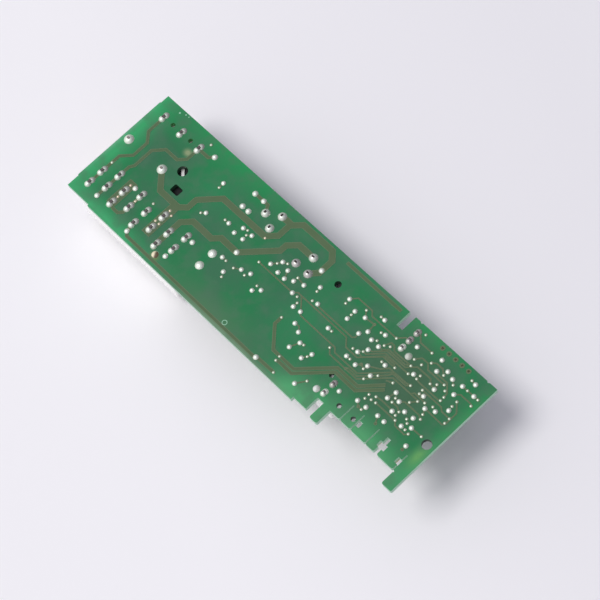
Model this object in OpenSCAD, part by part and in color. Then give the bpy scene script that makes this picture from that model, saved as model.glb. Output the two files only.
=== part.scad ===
// Power supply board, lying on its tall components with the solder side up

/* [Board] */
// Overall length of the board
board_l = 137.3; // [134:0.1:142]
// Overall width of the board
board_w = 40.5; // [39.5:0.1:43]
// Thickness of the laminate
board_t = 1.6; // [1:0.1:2.4]
// Thickness of the copper on either side
copper_t = 0.07; // [0.035:0.005:0.14]
// Depth of the milled steps at the left end
end_step = 0.3; // [0.1:0.05:0.5]
// Depth of the milled steps along the front edge
side_step = 0.5; // [0.2:0.05:0.8]
// Further step of the front edge beside the guide slot
shoulder_step = 0.45; // [0.1:0.05:0.8]
// Radius of the milled corners
corner_r = 0.5; // [0.2:0.05:0.7]
// Depth of the two notches in the back edge
notch_depth = 0.45; // [0.2:0.05:0.8]

/* [Edge connector] */
// Width of the two guide slots
slot_w = 2.4; // [1.5:0.1:3]
// Depth of the guide slot in the front edge
front_slot_depth = 5.5; // [3:0.1:5.7]
// Depth of the guide slot in the back edge
back_slot_depth = 5.3; // [3:0.1:6]
// Width of the short guide finger
finger_w = 2.8; // [2:0.1:3.5]
// Width of the long guide finger at the end
end_finger_w = 3.6; // [3:0.1:3.9]
// Distance that the connector edge is set back
recess_depth = 5.15; // [4:0.05:6]
// Width of the slits between the contact fingers
slit_w = 0.4; // [0.3:0.05:0.8]
// Depth of the slits from the connector edge
slit_depth = 5.5; // [4:0.1:6]
// Width of the wide coding slit
coding_w = 1.3; // [0.8:0.1:1.6]
// Reach of a coding arm from the middle of its slit
coding_reach = 1.4; // [1:0.1:1.7]
// Height of a coding arm
coding_h = 1.8; // [1.2:0.1:2.4]
// Width of an edge contact
contact_w = 1.3; // [0.8:0.1:1.5]
// Length of an edge contact
contact_l = 4; // [3:0.1:5]

/* [Holes] */
// Diameter of the mounting hole
mount_d = 3; // [2.5:0.1:3.4]
// Diameter of the sight hole over the choke
sight_d = 3.3; // [2:0.1:3.6]
// Length of the window over the choke
window_l = 3.3; // [2:0.1:4]
// Width of the window over the choke
window_w = 2.6; // [2:0.1:3]
// Diameter of the vent hole
vent_d = 2.1; // [1.5:0.1:2.6]
// Diameter of the small locating holes
locator_d = 1.5; // [1:0.1:1.8]
// Diameter of the spare pin holes
spare_d = 0.75; // [0.6:0.05:1]
// Diameter of the copper ring round a spare pin hole
spare_ring_d = 1.5; // [1.3:0.1:2]
// Pitch of the spare pin holes
spare_pitch = 2.5; // [2:0.05:2.6]

/* [Solder] */
// Diameter of a test pad
pad_d = 1.5; // [1.1:0.05:1.7]
// Height of the solder on a test pad
pad_h = 0.45; // [0.2:0.05:0.7]
// Diameter of a power test pad
power_pad_d = 1.7; // [1.3:0.05:1.9]
// Diameter of a via
via_d = 0.8; // [0.5:0.02:0.88]
// Height of the solder on a via
via_h = 0.2; // [0.1:0.02:0.35]
// Width of the copper ring that shows round a via
via_ring_w = 0.09; // [0.05:0.01:0.2]
// Diameter of one lobe of a joint on a flat leg
lobe_d = 2.1; // [1.5:0.1:2.2]
// Height of one lobe
lobe_h = 0.85; // [0.4:0.05:0.95]
// Height of the second lobe, which the solder wave left last
last_lobe_h = 0.6; // [0.4:0.05:1]
// Distance of a lobe from the middle of a flat leg
lobe_shift = 0.85; // [0.5:0.05:0.9]
// Diameter of one lobe of a joint on a signal pin
pin_lobe_d = 1.9; // [1.5:0.1:2]
// Distance of a lobe from the middle of a signal pin
pin_lobe_shift = 0.4; // [0.1:0.05:0.7]
// Diameter of a joint on a power device
power_joint_d = 2.8; // [2.2:0.1:3.2]
// Diameter of a joint on the film capacitor
film_joint_d = 3.2; // [2.4:0.1:3.6]
// Diameter of a joint on the reservoir capacitor
reservoir_joint_d = 2.7; // [2:0.1:3.2]
// Diameter of a joint on a thin lead
lead_joint_d = 1.9; // [1.5:0.1:2]
// Height of a joint that a lead stands out of
joint_h = 0.9; // [0.5:0.05:1]
// Height of a joint that covers its lead
flat_joint_h = 0.65; // [0.5:0.05:0.9]

/* [Copper tracks] */
// Width of the power tracks
wide_track_w = 1.9; // [1.2:0.1:2.2]
// Width of the supply tracks
mid_track_w = 1; // [0.6:0.05:1.2]
// Width of the signal tracks
fine_track_w = 0.4; // [0.2:0.02:0.5]
// Width of the copper round a doubled pole
pole_track_w = 3.2; // [2.4:0.1:3.6]

/* [Tab headers] */
// Pitch of the load tabs
tab_pitch = 5; // [4.6:0.1:5]
// Offset between neighbouring load tabs
tab_stagger = 2.5; // [1:0.1:2.6]
// Distance between the two legs of a load tab
leg_pitch = 5; // [4.4:0.1:5]
// Width of a tab blade
blade_w = 6.3; // [5.9:0.1:6.6]
// Thickness of a tab blade
blade_t = 0.8; // [0.5:0.05:1]
// Height of a tab blade over the board
blade_h = 13; // [10:0.1:14]
// Width of a leg
leg_w = 1.1; // [0.8:0.05:1.3]
// Pitch of the mains tabs
mains_pitch = 7.9; // [7.4:0.1:8]
// Height of the tab housings
housing_h = 16; // [14.5:0.1:18]
// Width of the load housing
tab_housing_w = 15.4; // [14.1:0.1:15.6]
// Width of the mains housing
mains_housing_w = 10; // [9.2:0.1:10.2]
// Wall of the tab housings
housing_wall = 1.2; // [0.8:0.05:1.4]
// Thickness of the partitions between poles
partition_t = 0.8; // [0.5:0.05:1]
// Thickness of the housing floor
housing_floor = 2; // [1.2:0.1:3]
// Diameter of the locating peg
peg_d = 2.1; // [1.4:0.1:2.3]

/* [Film capacitor] */
// Distance between the leads
film_pitch = 15; // [14:0.1:15.2]
// Length of the case
film_l = 18; // [17:0.1:18.4]
// Thickness of the case
film_t = 10; // [8:0.1:10.5]
// Height of the case
film_h = 19; // [15:0.1:24]
// Height of the feet under the case
film_foot = 0.5; // [0.3:0.05:1]
// Diameter of the leads
film_lead_d = 0.8; // [0.6:0.05:1]

/* [Electrolytic capacitors] */
// Diameter of the reservoir capacitor
reservoir_d = 10; // [8:0.1:10.6]
// Height of the reservoir capacitor
reservoir_h = 19.5; // [14:0.1:25]
// Lead pitch of the reservoir capacitor
reservoir_pitch = 5; // [4.5:0.1:5.5]
// Diameter of the output capacitor
output_d = 6.3; // [5:0.1:6.6]
// Height of the output capacitor
output_h = 11.5; // [8:0.1:14]
// Lead pitch of the output capacitor
output_pitch = 2.5; // [2.2:0.1:2.8]
// Diameter of the capacitor leads
can_lead_d = 0.6; // [0.4:0.05:0.7]
// Height of the rubber bung that shows below the can
bung_h = 1; // [0.5:0.1:1.5]

/* [Power devices] */
// Pitch of neighbouring leads in the case
device_pitch = 2.5; // [2.3:0.05:2.7]
// Distance that the middle lead is bent forward
device_bend = 4.45; // [4:0.05:4.8]
// Width of a device
device_w = 10; // [9:0.1:10.4]
// Height of a device from its leads to the end of its tab
device_h = 15.5; // [14:0.1:18]
// Height of the moulded case
device_case_h = 9.2; // [8:0.1:10]
// Depth of the moulded case in front of the tab
device_case_t = 3.2; // [2.6:0.1:3.6]
// Thickness of the metal tab
device_tab_t = 1.3; // [0.6:0.05:1.5]
// Diameter of the hole in the metal tab
device_hole_d = 3.6; // [3:0.1:3.9]
// Height of the case over the board
device_stand = 4; // [3:0.1:5]
// Width of a lead
device_lead_w = 0.8; // [0.5:0.05:1]
// Thickness of a lead
device_lead_t = 0.5; // [0.4:0.05:0.6]

/* [Wire-wound resistor] */
// Distance between the leads
resistor_pitch = 17.75; // [17:0.05:18.4]
// Length of the body
resistor_l = 12; // [9:0.1:13]
// Diameter of the body
resistor_d = 4.6; // [3:0.1:4.8]
// Diameter of the leads
resistor_lead_d = 0.75; // [0.5:0.05:0.8]
// Bend radius of the leads
resistor_bend = 1.2; // [0.9:0.05:1.5]

/* [Signal headers] */
// Pitch of the three-way header
three_pitch = 3; // [2.6:0.05:3.2]
// Pitch of the two-way header
two_pitch = 3.5; // [2.8:0.05:3.7]
// Width of the signal housings
signal_w = 6.6; // [6.2:0.1:6.8]
// Height of the signal housings
signal_h = 11; // [8:0.1:13]
// Wall of the signal housings
signal_wall = 0.8; // [0.6:0.05:1]
// Side of a square signal pin
pin_w = 0.8; // [0.5:0.05:0.9]
// Diameter of the staked pegs
stake_d = 2; // [1.2:0.1:2.3]

/* [Choke] */
// Side of the choke core
choke_side = 11.4; // [9:0.1:11.6]
// Height of the choke core
choke_h = 7; // [5:0.1:9]
// Width of a choke terminal
choke_terminal_w = 0.9; // [0.6:0.1:1.6]
// Length of a choke terminal
choke_terminal_l = 4.4; // [3:0.1:4.8]
// Thickness of a choke terminal
choke_terminal_t = 0.4; // [0.2:0.05:0.6]

/* [Surface-mounted parts] */
// Side of the controller
controller_side = 10; // [8:0.1:10.4]
// Leads on one side of the controller
controller_leads_per_side = 11; // [7:1:11]
// Lead pitch of the controller
controller_pitch = 0.8; // [0.6:0.02:0.84]
// Length of the converter chip
converter_l = 4.9; // [4.4:0.1:5.4]
// Width of the converter chip
converter_w = 3.9; // [3.4:0.1:4.2]
// Lead pitch of the converter chip
converter_pitch = 1.27; // [1.1:0.01:1.3]
// Leads on one side of the converter chip
converter_leads_per_side = 4; // [3:1:4]
// Thickness of the chips
chip_h = 1.4; // [1:0.05:1.8]
// Length of a diode case
diode_l = 4.3; // [3.6:0.1:4.6]
// Width of a diode case
diode_w = 2.6; // [2:0.1:2.8]
// Height of a diode case
diode_h = 2; // [1.6:0.1:2.3]
// Length of a transistor case
transistor_l = 2.9; // [2.6:0.05:3.2]
// Width of a transistor case
transistor_w = 1.3; // [1.1:0.05:1.5]
// Height of a transistor case
transistor_h = 1; // [0.8:0.05:1.2]
// Length of a chip resistor or chip capacitor
small_l = 2; // [1.5:0.05:2.3]
// Width of a chip resistor or chip capacitor
small_w = 1.25; // [0.8:0.05:1.4]
// Height of a chip resistor
small_resistor_h = 0.55; // [0.4:0.05:0.7]
// Height of a chip capacitor
small_capacitor_h = 1; // [0.6:0.05:1.3]
// Length of a metal end cap
small_end_l = 0.4; // [0.2:0.05:0.6]

/* [Hidden] */
$fn = 40;

// Overrun of every cut past the face that it opens
overrun = 0.4;
// Clearance of a lead in its drilled hole, all round
hole_gap = 0.15;
// Clearance between solder and the lead that it wets
solder_gap = 0.02;
// Clearance of a tab or a pin in its plastic slot, all round
slot_gap = 0.1;
// Clear laminate between copper and a hole or a foreign joint
copper_gap = 0.15;
// Length of a lead that stands out of its solder, past the solder side
lead_out = 1.15;
// Length of a signal pin or the leg of a tab past the solder side
tab_out = 0.78;
// Length of a lead that its solder covers, past the solder side
buried_out = 0.35;
// Height of a staked peg past the solder side
peg_out = 0.5;
// Rounding of the moulded cases
case_r = 0.6;
// Gap under a surface-mounted case
chip_gap = 0.1;
// Thickness and width of the thin leads of surface-mounted parts
thin_lead_t = 0.15;
thin_lead_w = 0.35;
// Reach of a gull-wing lead and length of its foot
gull_reach = 1;
gull_foot = 0.5;
// Depth and diameter of the dimple that marks the first lead
dimple_depth = 0.1;
dimple_d = 0.9;
// Depth of the bead rolled into a can and its height over the bung
bead_depth = 0.4;
bead_rise = 1.6;
// Depth and width of the vent score on a can
score_depth = 0.2;
score_w = 0.5;
// Diameter of the feet under the film capacitor
film_foot_d = 2;
// Straight start and straight end of a bent device lead
device_drop = 0.7;
device_low = 0.9;
// Bevel at the end of a tab blade and the hole in it
blade_bevel = 1.2;
blade_hole_d = 1.6;
// Height of a blade foot over the board
blade_foot = 0.5;
// Height that the partitions stay below the rim
partition_drop = 3;
// Width, height and distance from the rim of a latch window
latch_w = 2.4;
latch_h = 2.6;
latch_drop = 2.2;
// Height of a signal pin over the board and thickness of the floor round it
pin_h = 8.5;
signal_floor = 1.6;
// Width of the keyway in a signal housing
keyway_w = 1.6;
// Wall left at the two ends of a signal housing beyond its pins
signal_end = 1.6;
// Length and diameter of the capped ends of the wire-wound body
resistor_cap_l = 1.8;
resistor_cap_rise = 0.25;
// Height of the wire-wound body over the board
resistor_stand = 0.8;
// Bevel on the upright corners of the choke
choke_bevel = 2.2;

// One column and one row of the layout field, as shares of its length and width
column_share = 1 / 137;
row_share = 1 / 40;

// Rows between which the left end stands proud
proud_row_shares = [4.3, 37];
// Columns between which the front edge stands proud
proud_column_shares = [9.7, 98];
// Columns of the two guide slots, front and back
slot_column_shares = [103.1, 103.2];
// Columns of the notches in the back edge
notch_column_shares = [108, 133.7];
// Columns of the plain slits between contact fingers
slit_column_shares = [112.1, 122.1];
// Slits with a coding arm: column, arm to the left, arm to the right
coding_shares = [[116.25, 0, 1], [126, 1, 1], [132.9, 1, 0]];
// The wide coding slit is this one of the list
wide_coding = 1;
// Row of the coding arms
coding_row_share = 7.4;
// Columns and row of the edge contacts
contact_column_shares = [111, 113.2, 118.2, 120.4, 124, 128.6, 131];
contact_row_share = 7.2;

// Places of the holes, in columns and rows
mount_share = [134.45, 15.95];
sight_share = [22.3, 26.1];
window_share = [25.6, 20.75];
vent_share = [82.4, 32.1];
locator_shares = [[8.55, 34.4], [16.45, 34.4], [109.1, 7.35], [114.75, 7.35], [101.1, 12.1]];
spare_share = [117.6, 38.5];
spare_count = 5;

// Places of the first lead or the middle of each component
load_share = [4.32, 5.11];
load_count = 8;
mains_share = [4.55, 34.35];
mains_count = 3;
film_share = [2.2, 22.4];
reservoir_share = [48.75, 11.8];
output_share = [45.25, 30.4];
resistor_share = [26, 35.6];
device_shares = [[55.05, 33.4], [71.25, 28.6]];
device_turns = [90, 0];
three_share = [109.35, 31];
three_count = 3;
two_share = [103.4, 7.2];
two_count = 2;
// The locating peg of the load housing, in tab pitches and leg pitches
load_peg_shares = [6.46, -0.47];
// The staked pegs, as columns and rows
three_peg_share = [112.5, 30.4];
two_peg_share = [100.95, 6.5];
// The middle of the signal housings, in columns
three_middle_share = 110.6;
two_middle_share = 102.2;
choke_share = [25.2, 23.3];
// The terminal of the choke that the sight hole shows, and the turn of both terminals
terminal_share = [21.8, 26.2];
terminal_turn = -43;
controller_share = [121.5, 24.5];
converter_share = [59.5, 12.5];

// Test pads that belong to the load tabs, in tab pitches and leg pitches
load_pad_shares = [[1, -0.29], [2.36, 1.55], [4.1, -0.6], [7.5, 1.52], [6.99, -0.13]];
// Vias that belong to the load tabs, in tab pitches and leg pitches
load_via_shares = [
    [0, 1.74], [2, 1.5], [2, 0.5], [3, 1], [3.92, 1.62], [5, 1.98], [5.3, 1.82], [4.85, 0.98], [5.16, 0.98]
];

// Power test pads, as columns and rows
power_pad_shares = [[47.4, 35.6], [75.9, 31.9], [53.7, 19.3], [81.7, 1.3]];
// Test pads, as columns and rows
pad_shares = [
    [34.3, 31.6], [37.7, 21.7], [45.1, 24], [49.4, 25.8], [53.05, 25.85], [48.55, 23.05], [51.9, 23.3],
    [51.8, 15.5], [58.75, 16.6], [61.7, 17.5], [55.4, 12.6], [67.7, 16.1], [65.8, 14.3], [65.75, 26.25],
    [63.6, 23.5], [68.8, 25.4], [67.1, 23.1], [69.9, 23], [72.4, 24.3], [75.5, 25.4], [74.8, 21.6],
    [79.4, 28.1], [82.6, 24.1], [78.1, 18.9], [80.75, 19.2], [82.2, 15.75], [84.9, 14.6], [87.6, 12.7],
    [86.3, 9.8], [92.6, 12.6], [91.2, 9.86], [90.1, 21.1], [88.1, 31.25], [91.9, 29.7], [91.9, 26.7],
    [95.4, 30.3], [99.9, 33.5], [103.3, 30.5], [99, 27.9], [97.5, 25.8], [101.5, 26.9], [104.4, 26.8],
    [102.95, 24.2], [101.3, 21.8], [99.95, 18.85], [103.6, 18.7], [106.35, 20.75], [109, 19.3],
    [109.7, 24.2], [112.25, 34], [111.7, 11.9], [106.05, 10.3], [95.4, 3.4], [114.8, 12.1], [120, 35.9],
    [123.6, 34.6], [126.1, 33.9], [121.3, 32.6], [129.5, 34.3], [131.75, 37], [133.8, 34.3], [129.5, 31],
    [131.8, 26.8], [129.4, 24.1], [117.3, 27.7], [124.6, 28.4], [123.9, 25.05], [126.7, 22.8],
    [117.7, 20.7], [120.2, 19.4], [117.1, 18], [123.4, 18.4], [126.4, 18.7], [128.1, 16.4], [120.8, 16.2],
    [125.7, 14.9], [118.9, 12.6], [121.4, 12.55], [130.7, 11.8]
];
// Vias, as columns and rows
via_shares = [
    [22.1, 37.6], [34.4, 29.8], [36.5, 20.7], [43.5, 24], [50.9, 26.15], [51.75, 24.85], [56.4, 27.9],
    [60.7, 21.6], [53.4, 15.45], [56.7, 15.4], [60.7, 16], [56.2, 11.2], [65.8, 16.2], [67.2, 26.8],
    [64.9, 24.9], [72.55, 25.8], [79.6, 26.6], [80.75, 23.75], [76.7, 21.7], [78.1, 20.4], [78.1, 14.4],
    [88.85, 12.95], [92.1, 11.25], [86.4, 6], [86.5, 4.5], [88.7, 1.6], [97.4, 6.25], [91.5, 21.1],
    [88.2, 29.6], [91.9, 28.25], [94, 32.1], [98.5, 33.5], [101.9, 30.2], [106.2, 31.9], [106.8, 29],
    [105.3, 28.1], [102.8, 27.75], [99.6, 21.6], [102.35, 22.9], [101.3, 18.85], [106.1, 19.4],
    [108.3, 24.3], [110.5, 20.7], [108.3, 17.4], [94.7, 17.4], [112.2, 25.5], [111.4, 38.1], [112.7, 15.25],
    [112.7, 13.7], [116.5, 35.5], [114.3, 30.9], [116.9, 31.1], [118.5, 33.3], [115, 28.9], [119, 28.6],
    [118.9, 27.3], [116.1, 26.75], [119.1, 24.8], [115, 22.05], [123.5, 33.05], [127.4, 32.8], [130.2, 37.2],
    [131.4, 34.3], [135.3, 34.3], [135.2, 31.8], [125.6, 31.2], [127, 30.1], [124.1, 29.9], [122.6, 28.8],
    [128.1, 28.6], [128.1, 27.3], [131.6, 30.05], [131.6, 28.25], [122.4, 26.1], [122.55, 24.75],
    [125.5, 23.9], [127.95, 24.6], [133.6, 25.25], [133.6, 23.5], [123.8, 22.9], [122.4, 21.2], [127.5, 21.2],
    [128.05, 19.8], [118.75, 19.45], [118.9, 18], [122.3, 17.3], [125.3, 17.3], [126.3, 16.5], [131.8, 16.5],
    [122.3, 15.95], [123.3, 14.9], [127.2, 14.85], [128.7, 14.6], [114.6, 16.1], [114.25, 14.6],
    [115.8, 14.8], [114.35, 10.75]
];

// Vias that the mask covers, as columns and rows
masked_via_shares = [[98.8, 30.6], [102.5, 16.1], [104.7, 19.9], [113.1, 10.8], [120.1, 10.6], [130.7, 10.4]];

// Middle lines of the power tracks, as columns and rows
wide_track_shares = [
    [[17.2, 22.4], [22.2, 17.4], [30.3, 17.4], [32.4, 19.3], [32.4, 22.6], [38, 28.2], [55.8, 28.2],
     [58.7, 31], [58.7, 35.4], [61.6, 38.2], [73.6, 38.2], [75.9, 35.9], [75.9, 31], [73.75, 28.6]],
    [[55.05, 35.9], [58.7, 35.9]],
    [[34.3, 5], [34.3, 14.6], [37, 17.3], [45, 17.3], [47, 19.3], [53.7, 19.3], [62.6, 28.2],
     [62.6, 30.4], [65.3, 33], [71.25, 33]]
];
// Middle lines of the copper round a doubled pole
pole_track_shares = [[[29.4, 5.2], [29.4, 17.4]], [[14.35, 4.4], [14.35, 14]]];
// Middle lines of the supply tracks
mid_track_shares = [
    [[4.6, 34.2], [4.6, 28.1], [7.3, 25.2], [7.3, 19.7], [4.32, 16.7], [4.32, 5.1]],
    [[20.3, 34.2], [20.3, 29.6], [18.2, 27.5], [13.2, 27.5], [10.2, 24.4], [10.2, 17.7], [9.3, 16.2], [9.3, 3.7]],
    [[20.3, 34.2], [24.6, 34.2], [26, 35.6]],
    [[14.3, 5.1], [16, 4.1], [18.2, 4.1], [19.32, 5.4], [19.32, 12.5]],
    [[24.3, 5.1], [24.8, 2.1], [26, 1], [81, 1], [81.7, 1.5], [88.7, 1.65]],
    [[43.75, 35.6], [49.2, 35.6], [50.6, 33.5]],
    [[78.1, 14.4], [78.1, 11.8], [83.7, 6.1], [92, 6.1], [100.7, 14.7], [108.6, 14.7], [114, 20.2]],
    [[86.5, 4.5], [87.3, 4.8], [92.5, 4.8], [101.2, 13.4], [109.1, 13.4], [114.8, 19.1]],
    [[79.4, 38.5], [101.3, 38.5]]
];
// Middle lines of the signal tracks
fine_track_shares = [
    [[60.7, 21.6], [74.8, 21.6], [75.9, 22.7], [95.8, 22.7], [97.9, 20.5], [102.4, 20.5], [107.5, 25.6], [112.2, 25.5]],
    [[76.4, 22.7], [77.4, 22.7], [79.4, 20.7], [80.75, 19.2]],
    [[82.6, 24.1], [83, 23.7], [97, 23.7], [97.7, 24.4], [97.5, 25.8]],
    [[80.75, 19.2], [81.6, 18.4], [95.7, 18.4], [96.8, 17.3], [105.9, 17.3], [112.5, 23.9], [118.2, 23.9], [119.1, 24.8]],
    [[94.7, 17.4], [96.1, 16], [106.9, 16], [114, 23.1], [123.3, 23.1], [123.8, 22.9]],
    [[102.7, 16.65], [106.4, 16.65], [112.6, 22.85]],
    [[103.6, 18.7], [104.7, 19.9], [106.1, 19.4]],
    [[106.2, 31.9], [108, 33.8], [109.35, 34]],
    [[118.5, 33.3], [119.6, 34.2], [122, 34.2], [123.5, 33.05]],
    [[95.4, 30.3], [98.8, 30.6], [99, 27.9]],
    [[117.1, 18], [117.7, 20.7]],
    [[68.8, 25.4], [69.9, 23]],
    [[49.4, 25.8], [50.9, 26.15]],
    [[51.75, 24.85], [53.05, 25.85]],
    [[122.55, 24.75], [123.9, 25.05]],
    [[122.6, 28.8], [124.6, 28.4], [124.1, 29.9]],
    [[88.1, 31.25], [89.7, 33.1], [95.3, 33.1], [96.5, 31.9], [106.2, 31.9]],
    [[97.4, 6.25], [95.4, 3.4]],
    [[105.3, 28.1], [106.2, 30], [107.4, 30], [108.65, 28.75], [115, 28.9]],
    [[104.4, 26.8], [105.8, 26.8], [107.1, 28.1], [113.6, 28.1], [115, 28.9]],
    [[102.95, 24.2], [104.2, 24.6], [107.1, 27.5], [114.2, 27.5], [116.6, 29.9], [121.7, 29.9], [122.6, 28.8]],
    [[102.35, 22.9], [103.5, 22.9], [107.3, 26.7], [116.1, 26.75]],
    [[101.3, 21.8], [103.3, 21.5], [107.9, 26.15], [111.4, 26.15], [112.2, 25.5]],
    [[106.35, 20.75], [107.4, 21.3], [109.7, 22.6], [111.2, 24.4], [113.4, 24.4], [117.7, 24.5], [119.1, 24.8]],
    [[110.5, 20.7], [112.4, 22.6], [113.4, 24.4]],
    [[125.5, 23.9], [124.5, 24], [121.5, 24], [120.8, 23.1]],
    [[131.6, 30.05], [133.9, 27.6], [133.9, 23.3], [133.3, 22.7], [126.7, 22.8]],
    [[133.6, 25.25], [130.6, 25.3], [129.6, 26.1], [122.4, 26.1]],
    [[128.1, 27.3], [127.6, 27], [120, 27], [118.9, 27.3]],
    [[128.1, 28.6], [127.9, 30], [125.8, 32.1], [122, 32.1], [121.3, 32.6]],
    [[125.6, 31.2], [119.3, 31.2], [117.9, 32.6], [115.7, 32.6], [114.3, 30.9]],
    [[129.5, 31], [130.9, 32.2], [134.7, 32.2], [135.2, 31.8]],
    [[109.35, 37], [110.6, 36.9], [112, 35.5], [116.5, 35.5]],
    [[115.8, 14.8], [123.3, 14.9], [124.4, 13.8], [128, 13.7], [128.7, 14.6]],
    [[114.6, 16.1], [116.4, 16.4], [119.4, 16.4], [120.8, 16.2]],
    [[118.9, 18], [121, 18], [122.3, 17.3]],
    [[122.4, 21.2], [123.8, 22.9]],
    [[127.5, 21.2], [126.7, 22.8]],
    [[120.2, 19.4], [121.4, 20.4], [126.9, 20.4], [128.05, 19.8]],
    [[113.1, 21.2], [115, 22.05]],
    [[128.1, 16.4], [131.8, 16.5]],
    [[63.6, 23.5], [64.9, 24.9], [65.75, 26.25], [67.2, 26.8]],
    [[72.55, 25.8], [75.5, 25.4]],
    [[82.2, 15.75], [83.7, 15.9], [84.9, 14.6]],
    [[86.3, 9.8], [87.6, 12.7]],
    [[92.6, 12.6], [92.1, 11.25], [91.2, 9.86]],
    [[51.8, 15.5], [53.4, 15.45]],
    [[56.7, 15.4], [58.75, 16.6]],
    [[94, 32.1], [95.4, 30.3]],
    [[98.5, 33.5], [99.9, 33.5]],
    [[129.5, 34.3], [131.4, 34.3], [133.8, 34.3], [135.3, 34.3]],
    [[130.2, 37.2], [131.75, 37]],
    [[126.1, 33.9], [127.4, 32.8]],
    [[111.7, 11.9], [113.2, 10.7], [114.35, 10.75]],
    [[118.9, 12.6], [119.9, 10.9]],
    [[90.1, 21.1], [91.5, 21.1]],
    [[78.1, 20.4], [78.1, 18.9]],
    [[43.5, 24], [45.1, 24]],
    [[36.5, 20.7], [37.7, 21.7]],
    [[34.4, 29.8], [34.3, 31.6]]
];
// Corners of the copper fields on the component side
field_shares = [
    [[42.5, 1.5], [74, 1.5], [82, 9.5], [82, 14.6], [66, 14.6], [63.5, 9.5], [56, 9.5], [54, 15.6], [42.5, 15.6]],
    [[12, 23.5], [19, 23.5], [21, 29], [21, 33], [12, 33]],
    [[104.5, 13], [109.5, 13], [116.5, 20], [116.5, 28.5], [106, 28.5], [104.5, 27]],
    [[62, 23.6], [78, 23.6], [78, 31.6], [62, 31.6]],
    [[84, 26.5], [97, 26.5], [97, 32.5], [84, 32.5]],
    [[116.5, 30], [128.5, 30], [128.5, 33], [116.5, 33]]
];

// Places of the surface-mounted parts, as columns and rows
diode_shares = [[36.6, 24.6], [38.4, 31.2], [63.5, 20.5], [82.3, 33.2]];
transistor_shares = [[80, 20.5], [86, 20.5], [92, 20.5], [94.5, 11], [98, 16.5], [131.5, 20]];
resistor_shares = [
    [62, 4], [66, 4], [70, 4], [74, 4], [66.5, 9.4], [66.5, 11.4], [70.5, 11.4], [70.5, 9.4], [80, 25.5],
    [84, 25.5], [88, 25.5], [92, 25.5], [96, 25.5], [88, 34.5], [91.5, 34.5], [95, 34.5], [98.5, 34.5],
    [117.5, 14.5], [120.5, 14.5], [123.5, 14.5], [126.5, 14.5], [117.5, 35], [120.5, 35], [123.5, 35],
    [126.5, 35], [131.5, 29], [131.5, 32], [131.5, 26]
];
capacitor_shares = [
    [56, 18], [60, 18], [64.5, 15], [86, 29.5], [90, 29.5], [94, 29.5], [110.5, 24.5], [110.5, 21.5],
    [110.5, 18.5], [131.5, 23.5]
];

// Ends and edges of the board
left = -board_l / 2;
right = board_l / 2;
front = -board_w / 2;
back = board_w / 2;
edge_y = front + recess_depth;

// Point of the layout field at a column and a row
function at(place) = [
    left + end_step + place[0] * column_share * (board_l - end_step),
    front + side_step + place[1] * row_share * (board_w - side_step)
];
function column_x(column) = at([column, 0])[0];
function row_y(row) = at([0, row])[1];
function all_at(places) = [for (place = places) at(place)];
function turned(p, a) = [p[0] * cos(a) - p[1] * sin(a), p[0] * sin(a) + p[1] * cos(a)];

finger_x = column_x(slot_column_shares[0]) + slot_w;
bay_start = finger_x + finger_w;
bay_end = right - end_finger_w;

// Points of the load tabs' own field, counted in tab pitches and leg pitches
function load_at(p) = at(load_share) + [p[0] * tab_pitch, p[1] * leg_pitch];
function load_tab(i) = at(load_share) + [i * tab_pitch, (i % 2) * tab_stagger];
load_legs = [for (i = [0:load_count - 1], k = [0, 1]) load_tab(i) + [0, k * leg_pitch]];
load_middle = load_at([(load_count - 1) / 2, 1 / 2]) + [0, tab_stagger / 2];
load_l = load_count * tab_pitch + 2 * housing_wall;
load_peg = load_at(load_peg_shares);
mains_legs = [for (i = [0:mains_count - 1]) at(mains_share) + [i * mains_pitch, 0]];
mains_middle = at(mains_share) + [(mains_count - 1) * mains_pitch / 2, 0];
mains_sockets = all_at([locator_shares[0], locator_shares[1]]);
mains_l = mains_count * mains_pitch + 2 * housing_wall - mains_pitch + blade_w;
film_legs = [for (k = [0, 1]) at(film_share) + [k * film_pitch, 0]];
film_middle = at(film_share) + [film_pitch / 2, 0];
reservoir_legs = [for (k = [-1, 1]) at(reservoir_share) + [0, k * reservoir_pitch / 2]];
output_legs = [for (k = [-1, 1]) at(output_share) + [k * output_pitch / 2, 0]];
resistor_legs = [for (k = [0, 1]) at(resistor_share) + [k * resistor_pitch, 0]];
resistor_z = resistor_stand + resistor_d / 2 + resistor_cap_rise;
device_feet = [[-device_pitch, 0], [0, device_bend], [device_pitch, 0]];
device_legs = [
    for (i = [0:len(device_shares) - 1], foot = device_feet)
        at(device_shares[i]) + turned(foot, device_turns[i])
];
three_legs = [for (i = [0:three_count - 1]) at(three_share) + [0, i * three_pitch]];
two_legs = [for (i = [0:two_count - 1]) at(two_share) + [0, i * two_pitch]];
three_peg = at(three_peg_share);
two_peg = at(two_peg_share);
spare_places = [for (i = [0:spare_count - 1]) at(spare_share) + [i * spare_pitch, 0]];
pad_places = all_at(pad_shares);
power_pad_places = concat(all_at(power_pad_shares), [for (p = load_pad_shares) load_at(p)]);
via_places = concat(all_at(via_shares), [for (p = load_via_shares) load_at(p)]);

// Holes drilled for the leads
leg_hole_d = norm([leg_w, blade_t]) + 2 * hole_gap;
film_hole_d = film_lead_d + 2 * hole_gap;
can_hole_d = can_lead_d + 2 * hole_gap;
resistor_hole_d = resistor_lead_d + 2 * hole_gap;
device_hole = norm([device_lead_w, device_lead_t]) + 2 * hole_gap;
pin_hole_d = norm([pin_w, pin_w]) + 2 * hole_gap;
load_peg_hole_d = peg_d + 2 * hole_gap;
stake_hole_d = stake_d + 2 * hole_gap;

// The board lies on whichever component stands tallest
stand_z = max(film_foot + film_h, reservoir_h, device_stand + device_h, housing_h, signal_h);
solder_z = stand_z + board_t;
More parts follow.
